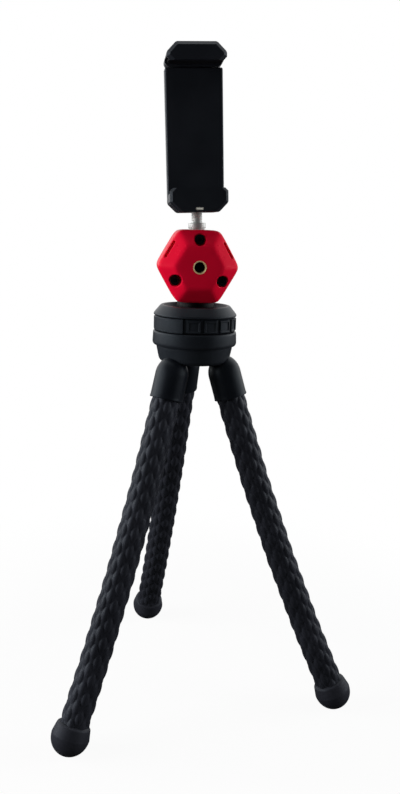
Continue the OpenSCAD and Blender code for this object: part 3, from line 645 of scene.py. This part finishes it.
def head_rounding(points):
    """How far out points from the head's middle lie, as a share of the sharp head, and what rounding leaves.

    Each plane of the head, and a cylinder that trims its corners, gives one over its distance in the point's
    direction. The sharp distance is one over their maximum, the rounded one over the root of summed powers.
    """
    far = np.linalg.norm(points, axis=1)
    ways = points / far[:, None]
    shares = np.clip(ways @ head_ways.T, 0, None) / head_far
    shares = np.column_stack([shares, np.hypot(ways[:, 0], ways[:, 2]) / corner_radius])
    sharp = 1 / shares.max(1)
    soft = (shares ** edge_power).sum(1) ** (-1 / edge_power)
    return far / sharp, soft / sharp


def cad_copy(node, name):
    """A copy of a CAD node's mesh under a new name, and an open shape of it with its corners joined."""
    mesh = frame["nodes"][node].data.copy()
    mesh.name = name
    shape = bmesh.new()
    shape.from_mesh(mesh)
    bmesh.ops.remove_doubles(shape, verts=shape.verts, dist=cad_weld)
    return mesh, shape


def rounded_head(node, name):
    """A piece copied from a CAD node of the head, with its outer edges rounded.

    Long edges on the outside are halved a few times. Each outer point is then drawn in along its direction
    from the middle, by the head's rounding.
    """
    mesh, shape = cad_copy(node, name)
    for _ in range(halvings):
        bmesh.ops.triangulate(shape, faces=shape.faces)
        outside = head_rounding(np.array([v.co for v in shape.verts]) - head_middle)[0]
        shape.verts.index_update()
        long_edges = [edge for edge in shape.edges if edge.calc_length() > edge_limit
                      and min(outside[v.index] for v in edge.verts) > outer_share]
        bmesh.ops.subdivide_edges(shape, edges=long_edges, cuts=1)
    bmesh.ops.triangulate(shape, faces=shape.faces)
    shape.to_mesh(mesh)
    shape.free()
    points = np.empty(len(mesh.vertices) * 3)
    mesh.vertices.foreach_get("co", points)
    points = points.reshape(-1, 3) - head_middle
    outside, left = head_rounding(points)
    drawn_in = 1 + (left - 1) * soft_step(outside, rounding_at, rounding_over)
    points = points * drawn_in[:, None] + head_middle
    mesh.vertices.foreach_set("co", points.ravel())
    mesh.update()
    mesh.shade_smooth()
    mesh.set_sharp_from_angle(angle=sharp_turn)
    piece = add_object(name, mesh)
    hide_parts(node)
    return piece


for node, name in (("head_body", "head_block"), ("head_front_cap", "head_cap")):
    piece = rounded_head(node, name)
    dress(piece, red_coat)
    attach(piece, "head")
dress(frame["nodes"]["head_cap_screws"], dark_steel)


# Thread insert: a turned brass bush pressed into the middle of the cap, with a quarter inch thread
# and a blind end. Its bore is painted dark below the rim, as painted shade.
thread_pitch, thread_radius = 0.00127, 0.003175
painted_shade_depth, painted_shade_colour = 0.0007, (0.003, 0.0028, 0.0026, 1)
brass = grained("turned_brass", (0.86, 0.62, 0.30), (0.96, 0.76, 0.42), cloud=1500.0, rough=0.34, metal=0.2)
brass_shader = brass.tree.nodes["Principled BSDF"]
front_at = head_middle[1] - head_half
# Painted shade: the brass colour turns near black from just inside the bore's rim.
sunk = brass.node("SeparateXYZ", {}, {0: brass.node("TexCoord", {}, {}, "Object")}, 1) - front_at
painted_shade_in_bore = brass.ramp(sunk, 0.0, painted_shade_depth, 0.0, 1.0)
brass_with_painted_shade = brass.node("MixRGB", {}, {0: painted_shade_in_bore, 1: brass.colour, 2: painted_shade_colour})
brass.feed(brass_shader.inputs["Base Color"], brass_with_painted_shade)


def thread_cut(heights, sides, deep):
    """Depth of a thread's groove by height and side: a wave that climbs one pitch with each turn."""
    climb = heights[:, None] / thread_pitch - np.arange(sides)[None, :] / sides
    return deep * (0.5 - 0.5 * np.cos(2 * np.pi * climb))


insert_sides, bore_rows, bore_cut = 72, 72, 0.0003
bush_radius, bush_end, bush_face, mouth_radius = 0.00385, -0.0080, 0.0001, 0.0033
bore_mouth, bore_end = -0.0003, -0.0074
bore_heights = np.linspace(bore_mouth, bore_end, bore_rows)
bush = np.vstack([rounded([(on_axis, bush_end), (bush_radius, bush_end), (bush_radius, bush_face),
                           (mouth_radius, bush_face), (thread_radius, bore_mouth)],
                          [0.0002, 0.0002, 0.0001]),
                  np.stack([np.full(bore_rows, thread_radius), bore_heights], -1), [[on_axis, bore_end]]])
bush_dents = np.zeros((len(bush), insert_sides))
bush_dents[-bore_rows - 1:-1] = thread_cut(bore_heights, insert_sides, bore_cut)
insert_place = head_middle - head_half * lengthwise
insert = turned("head_insert", bush, insert_place, -lengthwise, insert_sides, bush_dents)
dress(insert, brass)
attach(insert, "head")
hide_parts("head_thread_insert")


# Ball stud: a turned steel ball with a bright collar and a quarter inch screw, clamped in the head
# between its nylon cup and the mouth, with a stack of disc springs below. It leans a little in its socket.
bright = grained("bright_turned_steel", (0.68, 0.70, 0.69), (0.82, 0.83, 0.81), cloud=900.0, rough=0.34,
                 bump=0.08, metal=0.62)
ball_middle = np.array(joint["ball_tilt"]["pos_m"])
clamp_up = np.array(joint["jaw_slide"]["axis"])
clamp_right = np.array([clamp_up[2], 0.0, -clamp_up[0]])
ball_radius, collar_radius, collar_neck = 0.008, 0.00515, 0.00415
collar_at, collar_tall, collar_slope, screw_top, tip_radius = 0.0069, 0.0034, 0.0005, 0.0242, 0.0026
stud_sides, screw_rows, screw_cut = 72, 140, 0.00018
ball_turn = np.linspace(np.pi, np.arcsin(collar_neck / ball_radius), 30)
ball = np.stack([ball_radius * np.sin(ball_turn), ball_radius * np.cos(ball_turn)], -1)
ball[0, 0] = on_axis
collar_head = collar_at + collar_tall
collar = rounded([ball[-1], (collar_neck, collar_at), (collar_radius, collar_at + collar_slope),
                  (collar_radius, collar_head), (thread_radius + 0.0001, collar_head),
                  (thread_radius, collar_head + 0.0003)],
                 [0.0003, 0.0003, 0.0004, 0.0001])
screw_heights = np.linspace(collar_head + 0.0004, screw_top - 0.0006, screw_rows)
screw = np.stack([np.full(screw_rows, thread_radius), screw_heights], -1)
stud = np.vstack([ball, collar[1:], screw, [[tip_radius, screw_top], [on_axis, screw_top]]])
stud_dents = np.zeros((len(stud), stud_sides))
stud_dents[-screw_rows - 2:-2] = thread_cut(screw_heights, stud_sides, screw_cut)
ball_stud = turned("stud", stud, ball_middle, clamp_up, stud_sides, stud_dents)
dress(ball_stud, bright)
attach(ball_stud, "ball_stud")
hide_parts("ball_stud")
dress(frame["nodes"]["ball_disc_springs"], bright)


# Phone clamp: a black moulded body with the lower jaw and plate, and an upper jaw on a tongue that
# slides in it. A cover screwed on at the back closes the channel. A metal insert takes the stud's screw,
# and its end shows in the lower jaw, with a painted highlight in the middle and painted shade round it.
clamp_plastic = grained("clamp_plastic", (0.0095, 0.0108, 0.0145), (0.0135, 0.0152, 0.0200), cloud=50.0,
                        grain=3000.0, rough=0.44, bump=0.3, specular=0.6, tint=cool_gloss)
jaw_front, bar_half = -0.018, 0.003
front_limit, inner_slack = jaw_front + 0.0002, 0.0003
long_edge, edge_width, flat_turn = 0.008, 0.0006, np.radians(0.6)


def softened(node, name, front_width, inwards):
    """A copy of a CAD node of the clamp with its flat faces joined and its edges cut by a Bevel modifier.

    Edges of the jaw's front are cut by front_width, other long edges by edge_width. The front's inner edge,
    which looks inwards to the other jaw (up is 1, down is -1), stays sharp.
    """
    mesh, shape = cad_copy(node, name)
    bmesh.ops.dissolve_limit(shape, angle_limit=flat_turn, verts=shape.verts, edges=shape.edges)
    weight = shape.edges.layers.float.new("bevel_weight_edge")
    corners = np.array([v.co for v in shape.verts]) - ball_middle
    inner_edge = (inwards * corners @ clamp_up)[corners[:, 1] < front_limit].max(initial=-1.0)
    for edge in shape.edges:
        ends = np.array([v.co for v in edge.verts]) - ball_middle
        sharp = len(edge.link_faces) == 2 and edge.calc_face_angle() > sharp_turn
        in_front = ends[:, 1].max() < front_limit and np.abs(ends @ clamp_right).max() > bar_half
        width = front_width if in_front else edge_width * (edge.calc_length() > long_edge)
        inner = in_front and (inwards * ends @ clamp_up).min() > inner_edge - inner_slack
        edge[weight] = width / front_width if sharp and not inner else 0.0
    shape.to_mesh(mesh)
    shape.free()
    mesh.shade_flat()
    piece = add_object(name, mesh)
    bevel = piece.modifiers.new("round_edges", "BEVEL")
    bevel.limit_method = "WEIGHT"
    bevel.use_clamp_overlap = False
    bevel.width = front_width
    bevel.segments = 1
    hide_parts(node)
    return piece


clamp_pieces = (("clamp_body", "clamp_lower_jaw", "clamp", 0.0014, 1.0),
                ("clamp_slider", "clamp_upper_jaw", "clamp_slider", 0.0019, -1.0),
                ("clamp_back_cover", "clamp_back_plate", "clamp", edge_width, 1.0))
for node, name, body, front_width, inwards in clamp_pieces:
    piece = softened(node, name, front_width, inwards)
    dress(piece, clamp_plastic)
    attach(piece, body)
dress(frame["nodes"]["clamp_cover_screws"], dark_steel)

pale_metal = grained("pale_insert_metal", (0.94, 0.92, 0.80), (0.98, 0.96, 0.88), cloud=900.0,
                     rough=0.3, specular=0.8)
# Painted highlight and painted shade: the insert's end is pale metal in a small middle patch and near black
# round it.
glint_wide, glint_high = (0.0017, 0.0024), (0.0003, 0.0009)
painted_shade_dark = (0.03, 0.03, 0.028, 1)
insert_points = np.array([v.co for v in frame["nodes"]["clamp_thread_insert"].data.vertices])
insert_end = insert_points[insert_points[:, 1] < insert_points[:, 1].min() + edge_width]
end_middle = (insert_end.min(0) + insert_end.max(0)) / 2
insert_where = pale_metal.node("TexCoord", {}, {}, "Object")
end_x = pale_metal.node("SeparateXYZ", {}, {0: insert_where}, 0) - end_middle[0]
end_z = pale_metal.node("SeparateXYZ", {}, {0: insert_where}, 2) - end_middle[2]
painted_glint = pale_metal.ramp(end_x.maths("ABSOLUTE", end_x), *glint_wide, 1.0, 0.0)
painted_glint = painted_glint * pale_metal.ramp(end_z.maths("ABSOLUTE", end_z), *glint_high, 1.0, 0.0)
glint_and_shade_colour = pale_metal.node("MixRGB", {}, {0: painted_glint, 1: painted_shade_dark, 2: pale_metal.colour})
pale_metal.feed(pale_metal.tree.nodes["Principled BSDF"].inputs["Base Color"], glint_and_shade_colour)
dress(frame["nodes"]["clamp_thread_insert"], pale_metal)


# Jaw pads: ribbed strips of moulded black rubber, one for each jaw. Each lies in the hollow
# behind its jaw's lip, with the ribs towards the phone.
pad_rubber = grained("jaw_pad_rubber", (0.006, 0.006, 0.0075), (0.010, 0.010, 0.0120), grain=2200.0,
                     rough=0.62, specular=0.3)
pad_from, pad_to, pad_half, pad_thick = -0.015, 0.0017, 0.015, 0.0015
rib_deep, rib_count, rib_points, pad_round = 0.00035, 11, 180, 0.0003
lower_seat, upper_seat = 0.0268, 0.0994


def on_clamp(points):
    """Points given from the middle of the ball, to the clamp's right, backwards and up, put in place."""
    return (ball_middle + points[..., :1] * clamp_right + points[..., 1:2] * lengthwise
            + points[..., 2:] * clamp_up)


rib_y = np.linspace(pad_to - pad_round, pad_from + pad_round, rib_points)
rib_rise = 0.5 - 0.5 * np.cos(2 * np.pi * rib_count * np.linspace(0, 1, rib_points))
pad_face = np.stack([rib_y, pad_thick - rib_deep * (1 - np.sqrt(rib_rise))], -1)
pad_wall = pad_thick - rib_deep - pad_round
pad_section = np.vstack([[[pad_from, 0.0], [pad_to, 0.0], [pad_to, pad_wall]], pad_face,
                         [[pad_from, pad_wall]]])
pad_middle = np.array([(pad_from + pad_to) / 2, pad_thick / 2])
pad_ends = np.array([-pad_half, -pad_half + pad_round, pad_half - pad_round, pad_half])
end_scale = np.array([0.96, 1.0, 1.0, 0.96])
for name, node, body, seat, way in (("lower_jaw_pad", "clamp_lower_pad", "clamp", lower_seat, 1.0),
                                    ("upper_jaw_pad", "clamp_upper_pad", "clamp_slider", upper_seat, -1.0)):
    section = pad_middle + end_scale[:, None, None] * (pad_section - pad_middle)[None]
    pad_x = np.broadcast_to(pad_ends[:, None], section.shape[:2])
    grid = np.stack([pad_x, section[:, :, 0], seat + way * section[:, :, 1]], -1)
    jaw_pad = skin_mesh(name, on_clamp(grid))
    dress(jaw_pad, pad_rubber)
    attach(jaw_pad, body)
    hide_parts(node)


# Clamp springs: two wound steel springs in the channel that draw the upper jaw down. The real springs
# stretch as the jaw is pulled up; here they are drawn at one length.
spring_radius, wire_radius, spring_turns, turn_steps = 0.0015, 0.0003, 16, 22
spring_low, spring_high, spring_back, spring_out = 0.0273, 0.0475, 0.0072, 0.00525
wound = np.linspace(0, 2 * np.pi * spring_turns, spring_turns * turn_steps)
around_wire = np.linspace(0, 2 * np.pi, 8, endpoint=False)
spring_rise = np.linspace(spring_low + wire_radius, spring_high - wire_radius, wound.size)
outwards = np.stack([np.cos(wound), np.sin(wound), np.zeros(wound.size)], -1)
upwards = np.broadcast_to([0.0, 0.0, 1.0], outwards.shape)
for side, spring_x in (("left", -spring_out), ("right", spring_out)):
    coil = np.stack([np.full(wound.size, spring_x), np.full(wound.size, spring_back), spring_rise], -1)
    coil = coil + spring_radius * outwards
    wire = coil[:, None] + wire_radius * spokes(around_wire, outwards, upwards)
    spring = skin_mesh(f"clamp_spring_{side}", on_clamp(wire))
    dress(spring, bright)
    ends = on_clamp(np.array([[spring_x, spring_back, high] for high in (spring_low, spring_high)]))
    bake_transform(spring)
    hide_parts("clamp_springs")
